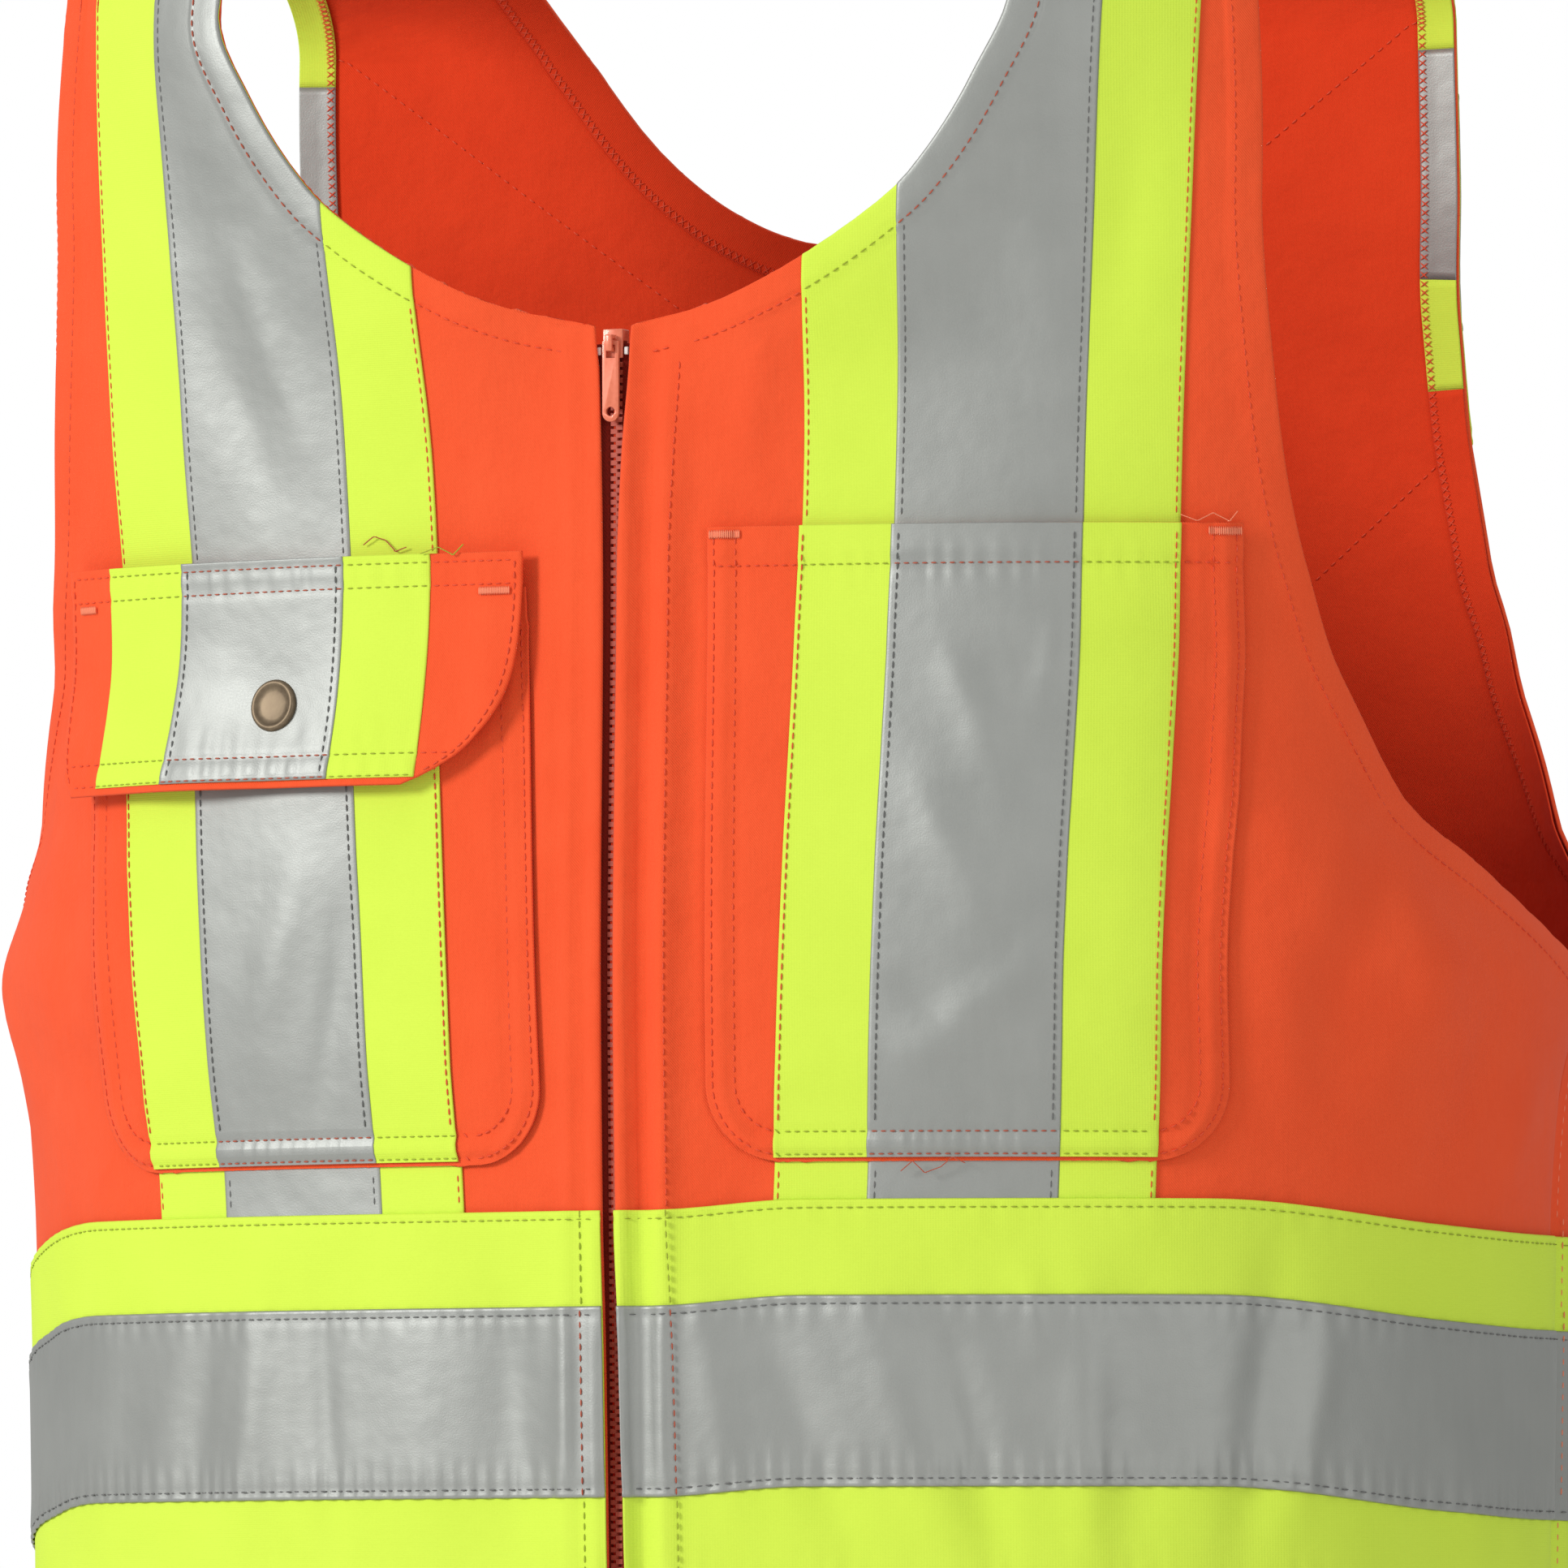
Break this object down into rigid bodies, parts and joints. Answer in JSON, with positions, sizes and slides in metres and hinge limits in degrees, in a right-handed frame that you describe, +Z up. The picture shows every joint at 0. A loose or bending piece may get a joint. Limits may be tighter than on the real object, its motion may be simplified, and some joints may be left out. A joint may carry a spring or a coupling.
{
  "type": "sleeveless hi-vis overalls, held up by the wearer",
  "caption": "Sleeveless zip-front work overalls in orange twill with lime and silver tape, two chest pockets and a crossed back, filled out as worn.",
  "frame": {"origin": "midway between the shoulders, on top of the shoulder seams, where the wearer's shoulders hold the overalls up", "axes": "+Z up, -Y the way the wearer faces, +X the wearer's left"},
  "size_m": [0.4584, 0.2735, 1.5428],
  "materials": {
    "orange_twill": "matte twill weave, fluorescent orange",
    "lime_tape": "matte fluorescent lime tape",
    "silver_tape": "satin retroreflective silver tape",
    "zip_tape": "woven dark red zip tape",
    "zip_teeth": "satin moulded teeth",
    "zip_metal": "salmon enamel over metal",
    "stop_plastic": "white plastic",
    "snap_brass": "antique brass, rubbed"
  },
  "bodies": {
    "garment": {"front_left": "orange_twill", "front_right": "orange_twill", "back": "orange_twill", "leg_front_left": "orange_twill", "leg_front_right": "orange_twill", "leg_back_left": "orange_twill", "leg_back_right": "orange_twill", "chest_pocket_left": "orange_twill", "chest_pocket_right": "orange_twill", "pocket_flap": "orange_twill", "shoulder_tape_left": "lime_tape", "shoulder_tape_right": "lime_tape", "tape_foot_left": "lime_tape", "tape_foot_right": "lime_tape", "pocket_tape_left": "lime_tape", "pocket_tape_right": "lime_tape", "flap_tape": "lime_tape", "band_tape_front_left": "lime_tape", "band_tape_front_right": "lime_tape", "band_tape_back": "lime_tape", "back_tape_lower": "lime_tape", "back_tape_upper": "lime_tape", "shoulder_silver_left": "silver_tape", "shoulder_silver_right": "silver_tape", "silver_foot_left": "silver_tape", "silver_foot_right": "silver_tape", "pocket_silver_left": "silver_tape", "pocket_silver_right": "silver_tape", "flap_silver": "silver_tape", "band_silver_front_left": "silver_tape", "band_silver_front_right": "silver_tape", "band_silver_back": "silver_tape", "back_silver_lower": "silver_tape", "back_silver_upper": "silver_tape", "zip_tape_left": "zip_tape", "zip_tape_right": "zip_tape", "zip_chain": "zip_teeth", "zip_slider": "zip_metal", "zip_stop_left": "stop_plastic", "zip_stop_right": "stop_plastic", "snap_cap": "snap_brass"},
    "pull_tab": {"zip_pull": "zip_metal"}
  },
  "joints": [
    {"name": "pull_swing", "type": "hinge", "parent": "garment", "child": "pull_tab", "pos_m": [0, -0.1399, -0.1417], "axis": [-1, 0, 0], "range_deg": [0, 150]}
  ]
}
